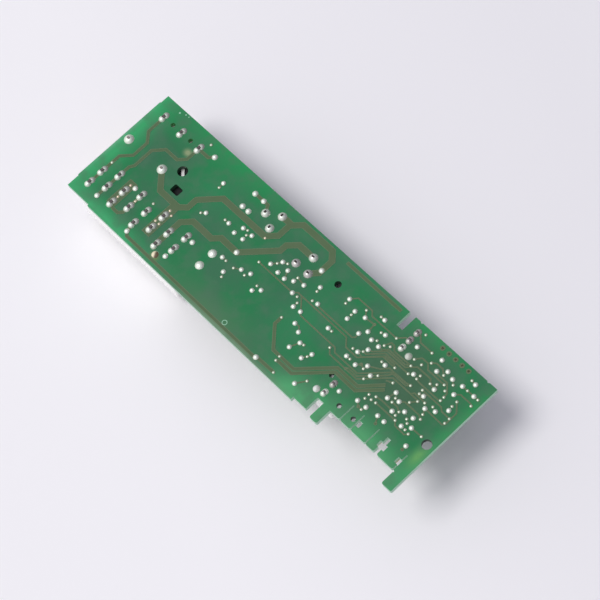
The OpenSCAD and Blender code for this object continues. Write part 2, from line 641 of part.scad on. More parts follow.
// Length of a lead, of a tab's leg and of a covered lead, from the component side to its end
leg_reach = board_t + lead_out;
tab_reach = board_t + tab_out;
buried_reach = board_t + buried_out;

// Repeats its children at each place on the solder side
module on_solder_side(places) {
    for (p = places)
        translate([p[0], p[1], solder_z])
            children();
}

// Turns its children over, so that they stand on the component side
module on_component_side() {
    translate([0, 0, stand_z])
        mirror([0, 0, 1])
            children();
}

// Repeats its children at each place on the component side
module at_places(places) {
    for (p = places)
        translate([p[0], p[1], 0])
            children();
}

// A block on the ground plane, centred
module block(l, w, h) {
    translate([-l / 2, -w / 2, 0])
        cube([l, w, h]);
}

// An upright block with round corners
module rounded_block(l, w, h, r) {
    linear_extrude(h)
        union() {
            square([l - 2 * r, w], center = true);
            square([l, w - 2 * r], center = true);
            for (x = [-1, 1], y = [-1, 1])
                translate([x * (l / 2 - r), y * (w / 2 - r)])
                    circle(r);
        }
}

// A rectangle between two opposite corners
module cut(p, q) {
    translate(p)
        square(q - p);
}

// What a milling cutter takes off an outer corner that opens towards quarter k
module round_off(p, k) {
    translate(p)
        rotate(90 * k)
            difference() {
                translate([-overrun, -overrun])
                    square(corner_r + overrun);
                translate([corner_r, corner_r])
                    circle(corner_r);
            }
}

// A slit up from the connector edge, with both finger corners rounded
module slit(x, w) {
    cut([x - w / 2, edge_y - overrun], [x + w / 2, edge_y + slit_depth]);
    round_off([x - w / 2, edge_y], 1);
    round_off([x + w / 2, edge_y], 0);
}

module coding_slits() {
    for (i = [0:len(coding_shares) - 1]) {
        code = coding_shares[i];
        x = column_x(code[0]);
        y = row_y(coding_row_share);
        slit(x, i == wide_coding ? coding_w : slit_w);
        cut([x - code[1] * coding_reach, y - coding_h / 2], [x + code[2] * coding_reach, y + coding_h / 2]);
    }
}

module board_outline() {
    slot_front_x = column_x(slot_column_shares[0]);
    slot_back_x = column_x(slot_column_shares[1]);
    difference() {
        cut([left, front], [right, back]);
        cut([left - overrun, front - overrun], [left + end_step, row_y(proud_row_shares[0])]);
        cut([left - overrun, row_y(proud_row_shares[1])], [left + end_step, back + overrun]);
        cut([left - overrun, front - overrun], [column_x(proud_column_shares[0]), front + side_step]);
        cut([column_x(proud_column_shares[1]), front - overrun],
            [slot_front_x + overrun, front + side_step + shoulder_step]);
        cut([slot_front_x, front - overrun], [slot_front_x + slot_w, front + front_slot_depth]);
        cut([slot_back_x, back - back_slot_depth], [slot_back_x + slot_w, back + overrun]);
        cut([bay_start, front - overrun], [bay_end, edge_y]);
        cut([bay_end - overrun, front - overrun], [right + overrun, front + side_step]);
        round_off([finger_x, front], 0);
        round_off([bay_start, front], 1);
        round_off([bay_end, front + side_step], 0);
        round_off([right, front + side_step], 1);
        for (column = slit_column_shares)
            slit(column_x(column), slit_w);
        coding_slits();
        for (column = notch_column_shares)
            translate([column_x(column), back])
                rotate(45)
                    square(notch_depth * sqrt(2), center = true);
    }
}

// A drilled hole through the laminate
module drill(places, d) {
    for (p = places)
        translate([p[0], p[1], stand_z - overrun])
            cylinder(d = d, h = board_t + 2 * overrun);
}

// Every hole in the board
module holes() {
    drill([at(mount_share)], mount_d);
    drill([at(sight_share)], sight_d);
    drill([at(vent_share)], vent_d);
    drill(all_at(locator_shares), locator_d);
    drill(spare_places, spare_d);
    translate([at(window_share)[0], at(window_share)[1], stand_z - overrun])
        rounded_block(window_l, window_w, board_t + 2 * overrun, corner_r);
    drill(concat(load_legs, mains_legs), leg_hole_d);
    drill(film_legs, film_hole_d);
    drill(concat(reservoir_legs, output_legs), can_hole_d);
    drill(resistor_legs, resistor_hole_d);
    drill(device_legs, device_hole);
    drill(concat(three_legs, two_legs), pin_hole_d);
    drill([load_peg], load_peg_hole_d);
    drill([three_peg, two_peg], stake_hole_d);
}

// Copper fields let into the component side, from a depth below its face
module copper_fields(below) {
    translate([0, 0, stand_z - below])
        linear_extrude(copper_t + below)
            for (field = field_shares)
                polygon(all_at(field));
}

module laminate() {
    color("seagreen")
        difference() {
            translate([0, 0, stand_z])
                linear_extrude(board_t)
                    board_outline();
            copper_fields(overrun);
            holes();
        }
}

// Outline of a track with mitred bends: offset points on one side of its middle line
function side_of(a, b) = [-(b - a)[1], (b - a)[0]] / norm(b - a);
function mitre(p, i, n) =
    i == 0 ? side_of(p[0], p[1]) :
    i == n ? side_of(p[n - 1], p[n]) :
    let (a = side_of(p[i - 1], p[i]), b = side_of(p[i], p[i + 1])) (a + b) / (1 + a * b);
function track_outline(p, w) =
    let (n = len(p) - 1)
    concat(
        [for (i = [0:n]) p[i] + mitre(p, i, n) * w / 2],
        [for (i = [n:-1:0]) p[i] - mitre(p, i, n) * w / 2]
    );

module tracks(lines, w) {
    for (line = lines)
        polygon(track_outline(all_at(line), w));
}

module discs(places, d) {
    for (p = places)
        translate(p)
            circle(d = d);
}

// Everything on the solder side that copper keeps clear of
module copper_keep_out() {
    for (k = [-1, 1]) {
        discs([for (p = concat(load_legs, mains_legs)) p + [0, k * lobe_shift]], lobe_d + 2 * solder_gap);
        discs([for (p = concat(three_legs, two_legs)) p + [0, k * pin_lobe_shift]], pin_lobe_d + 2 * solder_gap);
    }
    discs(device_legs, power_joint_d + 2 * solder_gap);
    discs(film_legs, film_joint_d + 2 * solder_gap);
    discs(reservoir_legs, reservoir_joint_d + 2 * solder_gap);
    discs(concat(output_legs, resistor_legs), lead_joint_d + 2 * solder_gap);
    discs([load_peg], load_peg_hole_d + 2 * copper_gap);
    discs(spare_places, spare_d);
}

module solder_side_copper() {
    color("darkolivegreen")
        translate([0, 0, solder_z])
            linear_extrude(copper_t)
                difference() {
                    union() {
                        tracks(wide_track_shares, wide_track_w);
                        tracks(pole_track_shares, pole_track_w);
                        tracks(mid_track_shares, mid_track_w);
                        tracks(fine_track_shares, fine_track_w);
                        discs(pad_places, pad_d);
                        discs(power_pad_places, power_pad_d);
                        discs(concat(via_places, all_at(masked_via_shares)), via_d + 2 * via_ring_w);
                        discs(spare_places, spare_ring_d);
                    }
                    copper_keep_out();
                }
}

module component_side_copper() {
    color("darkolivegreen")
        difference() {
            copper_fields(0);
            holes();
        }
}

module edge_contacts() {
    color("goldenrod")
        on_component_side()
            at_places([for (column = contact_column_shares) at([column, contact_row_share])])
                block(contact_w, contact_l, copper_t);
}

// A drop of solder with a flat foot
module drop(d, h) {
    r = (d * d / 4 + h * h) / (2 * h);
    intersection() {
        translate([0, 0, h - r])
            sphere(r);
        cylinder(d = d + 2 * overrun, h = h + overrun);
    }
}

// Opening in the solder for a flat or square leg that reaches out this far
module leg_opening(l, w, out) {
    translate([0, 0, -overrun])
        block(l + 2 * solder_gap, w + 2 * solder_gap, overrun + out + solder_gap);
}

// A two-lobed joint on a flat or square leg that reaches out this far
module lobed_joint(l, w, d, shift, out) {
    difference() {
        union() {
            translate([0, -shift, 0])
                drop(d, lobe_h);
            translate([0, shift, 0])
                drop(d, last_lobe_h);
        }
        leg_opening(l, w, out);
    }
}

// A joint on a round lead that reaches out this far
module round_joint(d, h, lead_d, out) {
    difference() {
        drop(d, h);
        translate([0, 0, -overrun])
            cylinder(d = lead_d + 2 * solder_gap, h = overrun + out + solder_gap);
    }
}

module test_pad_solder() {
    color("silver")
        translate([0, 0, copper_t]) {
            on_solder_side(pad_places)
                drop(pad_d, pad_h);
            on_solder_side(power_pad_places)
                drop(power_pad_d, pad_h);
        }
}

module via_solder() {
    color("silver")
        translate([0, 0, copper_t])
            on_solder_side(via_places)
                drop(via_d, via_h);
}

module load_tab_joints() {
    color("silver")
        on_solder_side(load_legs)
            lobed_joint(blade_t, leg_w, lobe_d, lobe_shift, tab_out);
}

module mains_tab_joints() {
    color("silver")
        on_solder_side(mains_legs)
            lobed_joint(blade_t, leg_w, lobe_d, lobe_shift, tab_out);
}

module film_capacitor_joints() {
    color("silver")
        on_solder_side(film_legs)
            round_joint(film_joint_d, joint_h, film_lead_d, lead_out);
}

module power_device_joints() {
    color("silver")
        for (i = [0:len(device_legs) - 1])
            on_solder_side([device_legs[i]])
                rotate(device_turns[floor(i / len(device_feet))])
                    difference() {
                        drop(power_joint_d, joint_h);
                        leg_opening(device_lead_w, device_lead_t, lead_out);
                    }
}

module reservoir_joints() {
    color("silver")
        on_solder_side(reservoir_legs)
            round_joint(reservoir_joint_d, flat_joint_h, can_lead_d, buried_out);
}

module small_lead_joints() {
    color("silver") {
        on_solder_side(output_legs)
            round_joint(lead_joint_d, flat_joint_h, can_lead_d, buried_out);
        on_solder_side(resistor_legs)
            round_joint(lead_joint_d, flat_joint_h, resistor_lead_d, buried_out);
    }
}

module signal_joints() {
    color("silver")
        on_solder_side(concat(three_legs, two_legs))
            lobed_joint(pin_w, pin_w, pin_lobe_d, pin_lobe_shift, tab_out);
}

// A peg pushed through the board, with a rounded end
module peg(d) {
    translate([0, 0, -board_t])
        cylinder(d = d, h = board_t);
    translate([0, 0, -board_t])
        mirror([0, 0, 1])
            drop(d, peg_out);
}

// A shrouded housing: tabs is the list of blade middles, from the housing's own middle
module shroud(l, w, pitch, count, tabs) {
    inner_w = w - 2 * housing_wall;
    difference() {
        rounded_block(l, w, housing_h, case_r);
        translate([0, 0, housing_floor])
            block(l - 2 * housing_wall, inner_w, housing_h);
        for (tab = tabs)
            translate([tab[0], tab[1], -overrun])
                block(blade_t + 2 * slot_gap, blade_w + 2 * slot_gap, housing_floor + 2 * overrun);
        for (i = [0:count - 1])
            translate([(i - (count - 1) / 2) * pitch, w / 2, housing_h - latch_drop - latch_h])
                block(latch_w, 3 * housing_wall, latch_h);
    }
    for (i = [1:count - 1])
        translate([(i - count / 2) * pitch, 0, housing_floor])
            block(partition_t, inner_w, housing_h - housing_floor - partition_drop);
}

// Flat tab with a bevelled end, in the plane of its width and height
module tab_profile(legs) {
    difference() {
        polygon([
            [-blade_w / 2, blade_foot],
            [blade_w / 2, blade_foot],
            [blade_w / 2, blade_h - blade_bevel],
            [blade_w / 2 - blade_bevel, blade_h],
            [blade_bevel - blade_w / 2, blade_h],
            [-blade_w / 2, blade_h - blade_bevel]
        ]);
        translate([0, (housing_floor + blade_h) / 2])
            circle(d = blade_hole_d);
    }
    for (leg = legs)
        translate([leg - leg_w / 2, -tab_reach])
            square([leg_w, tab_reach + blade_foot]);
}

module tab(legs) {
    translate([-blade_t / 2, 0, 0])
        rotate([90, 0, 90])
            linear_extrude(blade_t)
                tab_profile(legs);
}

load_blades = [for (i = [0:load_count - 1]) load_tab(i) + [0, leg_pitch / 2]];

module load_housing() {
    color("ivory")
        on_component_side() {
            at_places([load_middle])
                shroud(load_l, tab_housing_w, tab_pitch, load_count, [for (b = load_blades) b - load_middle]);
            at_places([load_peg])
                peg(peg_d);
        }
}

module load_tabs() {
    color("lightgray")
        on_component_side()
            at_places(load_blades)
                tab([-leg_pitch / 2, leg_pitch / 2]);
}

// The floor of the mains housing is open under the two locating holes over it
module mains_housing() {
    color("ivory")
        on_component_side()
            difference() {
                at_places([mains_middle])
                    shroud(mains_l, mains_housing_w, mains_pitch, mains_count, [for (b = mains_legs) b - mains_middle]);
                at_places(mains_sockets)
                    translate([0, 0, -overrun])
                        cylinder(d = locator_d, h = overrun + housing_floor);
            }
}

module mains_tabs() {
    color("lightgray")
        on_component_side()
            at_places(mains_legs)
                tab([0]);
}

// Straight leads from a height over the board down through it
module straight_leads(places, d, from, reach) {
    at_places(places)
        translate([0, 0, -reach])
            cylinder(d = d, h = reach + from);
}

module film_capacitor_case() {
    color("goldenrod")
        on_component_side()
            at_places([film_middle]) {
                translate([0, 0, film_foot])
                    rounded_block(film_l, film_t, film_h, case_r);
                for (x = [-1, 1], y = [-1, 1])
                    translate([x * (film_l / 2 - film_foot_d), y * (film_t / 2 - film_foot_d), 0])
                        cylinder(d = film_foot_d, h = film_foot);
            }
}

module film_capacitor_leads() {
    color("lightgray")
        on_component_side()
            straight_leads(film_legs, film_lead_d, film_foot, leg_reach);
}

// Half section of a can: a bead near the bung, and a rounded far rim
module can(d, h) {
    bead_z = bung_h + bead_rise;
    difference() {
        rotate_extrude()
            difference() {
                translate([0, bung_h])
                    square([d / 2, h - bung_h]);
                translate([d / 2, bead_z])
                    circle(bead_depth);
                translate([d / 2 - case_r, h - case_r])
                    difference() {
                        square(case_r + overrun);
                        circle(case_r);
                    }
            }
        for (a = [0, 90])
            rotate(a)
                translate([0, 0, h - score_depth])
                    block(d / 2, score_w, score_depth + overrun);
    }
}

module bung(d, places) {
    difference() {
        cylinder(d = d - 2 * bead_depth, h = bung_h);
        for (p = places)
            translate([p[0], p[1], -overrun])
                cylinder(d = can_lead_d + 2 * solder_gap, h = bung_h + 2 * overrun);
    }
}

module reservoir_can() {
    color("darkslateblue")
        on_component_side()
            at_places([at(reservoir_share)])
                can(reservoir_d, reservoir_h);
}

module reservoir_bung() {
    color("dimgray")
        on_component_side()
            at_places([at(reservoir_share)])
                bung(reservoir_d, [for (p = reservoir_legs) p - at(reservoir_share)]);
}

module reservoir_leads() {
    color("lightgray")
        on_component_side()
            straight_leads(reservoir_legs, can_lead_d, bung_h, buried_reach);
}

module output_can() {
    color("darkslateblue")
        on_component_side()
            at_places([at(output_share)])
                can(output_d, output_h);
}

module output_bung() {
    color("dimgray")
        on_component_side()
            at_places([at(output_share)])
                bung(output_d, [for (p = output_legs) p - at(output_share)]);
}

module output_leads() {
    color("lightgray")
        on_component_side()
            straight_leads(output_legs, can_lead_d, bung_h, buried_reach);
}

// Repeats its children at each power device, with the device's own front towards +Y
module at_devices() {
    for (i = [0:len(device_shares) - 1])
        translate([at(device_shares[i])[0], at(device_shares[i])[1], 0])
            rotate(device_turns[i])
                children();
}

device_case_back = -device_case_t / 3;

module power_device_cases() {
    color("#2a2a2c")
        on_component_side()
            at_devices()
                translate([0, device_case_back + device_case_t / 2, device_stand])
                    rounded_block(device_w, device_case_t, device_case_h, case_r / 2);
}

module power_device_tabs() {
    color("silver")
        on_component_side()
            at_devices()
                translate([0, device_case_back, device_stand])
                    rotate([90, 0, 0])
                        linear_extrude(device_tab_t)
                            difference() {
                                translate([-device_w / 2, 0])
                                    square([device_w, device_h]);
                                translate([0, (device_case_h + device_h) / 2])
                                    circle(d = device_hole_d);
                            }
}

module straight_device_lead() {
    translate([0, 0, -leg_reach])
        block(device_lead_w, device_lead_t, leg_reach + device_stand);
}

// The middle lead is bent forward to its own hole
module bent_device_lead() {
    t = device_lead_t / 2;
    translate([-device_lead_w / 2, 0, 0])
        rotate([90, 0, 90])
            linear_extrude(device_lead_w)
                polygon([
                    [-t, device_stand],
                    [-t, device_stand - device_drop],
                    [device_bend - t, device_low],
                    [device_bend - t, -leg_reach],
                    [device_bend + t, -leg_reach],
                    [device_bend + t, device_low],
                    [t, device_stand - device_drop],
                    [t, device_stand]
                ]);
}

module power_device_leads() {
    color("lightgray")
        on_component_side()
            at_devices() {
                bent_device_lead();
                for (x = [-device_pitch, device_pitch])
                    translate([x, 0, 0])
                        straight_device_lead();
            }
}

resistor_middle = at(resistor_share) + [resistor_pitch / 2, 0];

module wire_wound_body() {
    color("seagreen")
        on_component_side()
            translate([resistor_middle[0], resistor_middle[1], resistor_z])
                rotate([0, 90, 0]) {
                    cylinder(d = resistor_d, h = resistor_l, center = true);
                    for (k = [-1, 1])
                        translate([0, 0, k * (resistor_l - resistor_cap_l) / 2])
                            cylinder(d = resistor_d + 2 * resistor_cap_rise, h = resistor_cap_l, center = true);
                }
}

// One bent lead, from the end of the body at the left to its hole
module wire_wound_lead() {
    run = (resistor_pitch - resistor_l) / 2 - resistor_bend;
    translate([0, 0, -buried_reach])
        cylinder(d = resistor_lead_d, h = buried_reach + resistor_z - resistor_bend);
    translate([resistor_bend, 0, resistor_z - resistor_bend])
        rotate([90, 0, 0])
            rotate(90)
                rotate_extrude(angle = 90)
                    translate([resistor_bend, 0])
                        circle(d = resistor_lead_d);
    translate([resistor_bend, 0, resistor_z])
        rotate([0, 90, 0])
            cylinder(d = resistor_lead_d, h = run);
}

module wire_wound_leads() {
    color("lightgray")
        on_component_side() {
            at_places([resistor_legs[0]])
                wire_wound_lead();
            at_places([resistor_legs[1]])
                rotate(180)
                    wire_wound_lead();
        }
}

// A small open housing over a row of pins, with one staked peg
module signal_housing(x, legs, pitch, stake) {
    low = legs[0] - [0, pitch / 2 + signal_end];
    high = legs[len(legs) - 1] + [0, pitch / 2 + signal_end];
    l = (high - low)[1] - 2 * signal_end;
    middle = [x, (low + high)[1] / 2];
    difference() {
        at_places([middle])
            rounded_block(signal_w, l, signal_h, case_r);
        at_places([middle])
            translate([0, 0, signal_floor])
                block(signal_w - 2 * signal_wall, l - 2 * signal_wall, signal_h);
        at_places([middle])
            translate([0, l / 2, signal_h / 2])
                block(keyway_w, 3 * signal_wall, signal_h);
        at_places(legs)
            translate([0, 0, -overrun])
                block(pin_w + 2 * slot_gap, pin_w + 2 * slot_gap, signal_floor + 2 * overrun);
    }
    at_places([stake])
        peg(stake_d);
}

module three_way_housing() {
    color("ivory")
        on_component_side()
            signal_housing(column_x(three_middle_share), three_legs, three_pitch, three_peg);
}

module two_way_housing() {
    color("ivory")
        on_component_side()
            signal_housing(column_x(two_middle_share), two_legs, two_pitch, two_peg);
}

module signal_pins() {
    color("lightgray")
        on_component_side()
            at_places(concat(three_legs, two_legs))
                translate([0, 0, -tab_reach])
                    block(pin_w, pin_w, tab_reach + pin_h);
}

module choke_core() {
    s = choke_side / 2;
    b = s - choke_bevel;
    color("#26272a")
        on_component_side()
            at_places([at(choke_share)])
                translate([0, 0, choke_terminal_t])
                    linear_extrude(choke_h)
                        polygon([[-s, -b], [-b, -s], [b, -s], [s, -b], [s, b], [b, s], [-b, s], [-s, b]]);
}

// Flat terminals between the choke and the board, under the sight hole and opposite it
module choke_terminals() {
    shift = at(terminal_share) - at(choke_share);
    color("lightgray")
        on_component_side()
            at_places([for (k = [-1, 1]) at(choke_share) + k * shift])
                rotate(terminal_turn)
                    block(choke_terminal_l, choke_terminal_w, choke_terminal_t);
}

// A moulded chip case with a dimple at its first lead
module chip(l, w) {
    translate([0, 0, chip_gap])
        difference() {
            rounded_block(l, w, chip_h, case_r / 2);
            translate([dimple_d - l / 2, dimple_d - w / 2, chip_h - dimple_depth])
                cylinder(d = dimple_d, h = dimple_depth + overrun);
        }
}

// A gull-wing lead that leaves a case at a height and ends in a flat foot
module gull_lead(height) {
    knee = (gull_reach - gull_foot) / 2;
    t = thin_lead_t;
    translate([thin_lead_w / 2, 0, 0])
        rotate([90, 0, -90])
            mirror([1, 0, 0])
                linear_extrude(thin_lead_w)
                    polygon([
                        [0, height],
                        [knee + t, height],
                        [gull_reach - gull_foot + t, t],
                        [gull_reach, t],
                        [gull_reach, 0],
                        [gull_reach - gull_foot, 0],
                        [knee, height - t],
                        [0, height - t]
                    ]);
}

// A row of gull-wing leads along the side of a case at distance y
module gull_row(count, pitch, y, height) {
    for (i = [0:count - 1])
        translate([(i - (count - 1) / 2) * pitch, y, 0])
            gull_lead(height);
}

chip_lead_z = chip_gap + chip_h / 2;

module controller_case() {
    color("#232325")
        on_component_side()
            at_places([at(controller_share)])
                chip(controller_side, controller_side);
}

module controller_leads() {
    color("lightgray")
        on_component_side()
            at_places([at(controller_share)])
                for (k = [0:3])
                    rotate(90 * k)
                        gull_row(controller_leads_per_side, controller_pitch, controller_side / 2, chip_lead_z);
}

module converter_case() {
    color("#232325")
        on_component_side()
            at_places([at(converter_share)])
                chip(converter_l, converter_w);
}

module converter_leads() {
    color("lightgray")
        on_component_side()
            at_places([at(converter_share)])
                for (k = [0, 2])
                    rotate(90 * k)
                        gull_row(converter_leads_per_side, converter_pitch, converter_w / 2, chip_lead_z);
}

module diode_cases() {
    color("#2a2a2c")
        on_component_side()
            at_places(all_at(diode_shares))
                translate([0, 0, chip_gap])
                    rounded_block(diode_l, diode_w, diode_h, case_r / 2);
}

// Leads of a diode leave its ends and fold down to the board
module diode_leads() {
    color("lightgray")
        on_component_side()
            at_places(all_at(diode_shares))
                for (k = [-1, 1])
                    rotate(90 * k)
                        translate([0, diode_l / 2, 0])
                            gull_lead(chip_gap + diode_h / 2);
}

module transistor_cases() {
    color("#2a2a2c")
        on_component_side()
            at_places(all_at(transistor_shares))
                translate([0, 0, chip_gap])
                    rounded_block(transistor_l, transistor_w, transistor_h, case_r / 3);
}

module transistor_leads() {
    color("lightgray")
        on_component_side()
            at_places(all_at(transistor_shares)) {
                gull_row(2, transistor_l - transistor_w / 2, transistor_w / 2, chip_gap + transistor_h / 2);
                rotate(180)
                    gull_row(1, 0, transistor_w / 2, chip_gap + transistor_h / 2);
            }
}

// Ceramic middle of a chip resistor or chip capacitor
module small_bodies(places, h) {
    on_component_side()
        at_places(all_at(places))
            block(small_l - 2 * small_end_l, small_w, h);
}

// Metal end caps of the same parts
module small_ends(places, h) {
    on_component_side()
        at_places(all_at(places))
            for (k = [-1, 1])
                translate([k * (small_l - small_end_l) / 2, 0, 0])
                    block(small_end_l, small_w, h);
}

module chip_resistors() {
    color("#2b2d33")
        small_bodies(resistor_shares, small_resistor_h);
}

module chip_resistor_ends() {
    color("silver")
        small_ends(resistor_shares, small_resistor_h);
}

module chip_capacitors() {
    color("tan")
        small_bodies(capacitor_shares, small_capacitor_h);
}

module chip_capacitor_ends() {
    color("silver")
        small_ends(capacitor_shares, small_capacitor_h);
}

laminate();
solder_side_copper();
component_side_copper();
edge_contacts();
test_pad_solder();
via_solder();
load_tab_joints();
mains_tab_joints();
film_capacitor_joints();
power_device_joints();
reservoir_joints();
small_lead_joints();
signal_joints();
load_housing();
load_tabs();
mains_housing();
mains_tabs();
film_capacitor_case();
film_capacitor_leads();
reservoir_can();
reservoir_bung();
reservoir_leads();
output_can();
output_bung();
output_leads();
power_device_cases();
power_device_tabs();
power_device_leads();
wire_wound_body();
wire_wound_leads();
three_way_housing();
two_way_housing();
signal_pins();
choke_core();
choke_terminals();
controller_case();
controller_leads();
converter_case();
converter_leads();
diode_cases();
diode_leads();
transistor_cases();
transistor_leads();
chip_resistors();
chip_resistor_ends();
chip_capacitors();
chip_capacitor_ends();
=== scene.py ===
"""Looks of the power supply board, which lies solder side up on its tall components."""

import math

import bmesh
import bpy
from mathutils import Matrix, Vector


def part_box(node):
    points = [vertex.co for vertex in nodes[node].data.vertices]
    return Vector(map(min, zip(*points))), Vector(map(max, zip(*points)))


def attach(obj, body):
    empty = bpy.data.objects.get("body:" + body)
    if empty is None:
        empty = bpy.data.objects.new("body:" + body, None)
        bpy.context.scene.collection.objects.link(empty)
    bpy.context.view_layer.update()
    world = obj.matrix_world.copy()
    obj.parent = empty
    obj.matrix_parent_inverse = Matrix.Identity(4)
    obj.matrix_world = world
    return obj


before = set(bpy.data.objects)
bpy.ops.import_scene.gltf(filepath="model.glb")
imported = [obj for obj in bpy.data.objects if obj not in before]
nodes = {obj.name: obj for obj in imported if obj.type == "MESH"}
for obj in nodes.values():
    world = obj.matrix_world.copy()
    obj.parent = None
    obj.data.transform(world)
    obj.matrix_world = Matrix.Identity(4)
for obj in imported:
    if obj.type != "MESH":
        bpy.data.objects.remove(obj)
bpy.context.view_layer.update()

MM = 0.001

# The layout field of the board: a column along X and a row along Y are a millimetre each.
# The steps in the outline reach past the field by these lengths
board_low, board_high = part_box("laminate")
LEFT_STEP = 0.3 * MM
FRONT_STEP = 0.5 * MM
FACE_Z = board_high[2]


def spot(column, row, height=0.0):
    """The point of the solder side at a column and a row, raised by a height."""
    x = board_low[0] + LEFT_STEP + column * MM
    y = board_low[1] + FRONT_STEP + row * MM
    return Vector((x, y, FACE_Z + height))


# Materials

def linear(hex_colour):
    """An sRGB hex colour as linear RGBA."""
    parts = [int(hex_colour[i:i + 2], 16) / 255 for i in (1, 3, 5)]
    rgb = [c / 12.92 if c <= 0.04045 else ((c + 0.055) / 1.055) ** 2.4 for c in parts]
    return (*rgb, 1.0)


# Sockets of a colour mix, and of a number mix
COLOURS = {"data_type": "RGBA"}
NUMBERS = {"data_type": "FLOAT"}


def add(tree, kind, settings=None, **sockets):
    """Adds a node with its settings; a socket, by name or _index, takes a value or an output."""
    made = tree.nodes.new("ShaderNode" + kind)
    for name, value in (settings or {}).items():
        setattr(made, name, value)
    for name, value in sockets.items():
        key = int(name[1:]) if name[0] == "_" else name.replace("_", " ")
        if isinstance(value, bpy.types.NodeSocket):
            tree.links.new(value, made.inputs[key])
        else:
            made.inputs[key].default_value = value
    return made


def start(name, **constants):
    """A new material: its tree, its shader with the constants set, and its Object coordinates."""
    material = bpy.data.materials.new(name)
    material.use_nodes = True
    tree = material.node_tree
    shader = tree.nodes["Principled BSDF"]
    for socket, value in constants.items():
        shader.inputs[socket.replace("_", " ")].default_value = value
    place = add(tree, "TexCoord").outputs["Object"]
    return material, tree, shader, place


def patch(tree, place, column, row, half_l, half_w, falloff):
    """A patch of the board: one at its middle, nothing past its half length and half width."""
    nearer = add(
        tree, "Mapping", {"vector_type": "TEXTURE"},
        Vector=place, Location=spot(column, row), Scale=(half_l * MM, half_w * MM, 1.0),
    ).outputs[0]
    return add(tree, "TexGradient", {"gradient_type": falloff}, Vector=nearer).outputs["Fac"]


# Painted light and shade in the laminate's colour: glass cloth that lets light through glows near
# its edges, and copper on the far side shades it.
# Each glow or shade: column, row, half length and half width in millimetres, colour, strength
PAINTED_GLOW_AND_SHADE = (
    (83, 18, 15, 24, "#307d51", 1.3),
    (34, 28, 17, 12, "#2b8050", 1.2),
    (62, 1, 32, 11, "#4a7854", 1.4),
    (116, 24, 26, 22, "#41664a", 1.8),
    (16, 27, 12, 10, "#336a4a", 1.0),
    (70, 27, 22, 14, "#38694d", 0.8),
    (30, 44, 60, 17, "#259152", 1.6),
    (92, 44, 40, 10, "#348c5a", 1.2),
    (-1, 20, 12, 60, "#3aa265", 1.9),
    (14, -2, 46, 9, "#42a66b", 2.0),
    (98, -1, 18, 12, "#50a26b", 2.0),
    (120, 1, 34, 14, "#519d68", 2.4),
    (138, 8, 7, 26, "#459862", 1.6),
    (112, 42, 24, 9, "#2c9152", 1.4),
    (139, 27, 7, 26, "#389657", 1.6),
    (135.1, 12.0, 3.2, 7, "#62a05c", 1.3),
    (70, -0.9, 40, 3.2, "#6f8f70", 2.2),
    (-0.9, 20, 2.6, 30, "#64a880", 2.0),
)
# Dried flux, in the same form: a blob beside a mains tab and a stain round the locating peg
FLUX = (
    (18.9, 31.2, 2.5, 2.1, "#8a9a72", 1.7),
    (36.9, 2.3, 2.6, 1.7, "#7f8f4c", 1.6),
)
# Drilled holes, whose walls get painted shade: a darker colour than a routed wall.
# Each: column, row, half length and half width in millimetres, colour; the last is a row of holes
SHADED_WALL = "#1b3324"
# A lighter green painted shade for two holes, and a coppery painted shade for a row of plated holes
SHADED_GREEN_WALL = "#356a3c"
SHADED_COPPERY_WALL = "#6a6b52"
SHADED_HOLES = (
    (134.45, 15.95, 1.8, 1.8, SHADED_WALL),
    (22.3, 26.1, 2.0, 2.0, SHADED_WALL),
    (25.6, 20.75, 2.4, 2.4, SHADED_WALL),
    (82.4, 32.1, 1.4, 1.4, SHADED_WALL),
    (101.1, 12.1, 1.1, 1.1, SHADED_WALL),
    (109.1, 7.35, 1.1, 1.1, SHADED_WALL),
    (114.75, 7.35, 1.1, 1.1, SHADED_WALL),
    (8.55, 34.4, 1.1, 1.1, SHADED_GREEN_WALL),
    (16.45, 34.4, 1.1, 1.1, SHADED_GREEN_WALL),
    (122.6, 38.5, 6.2, 0.9, SHADED_COPPERY_WALL),
)


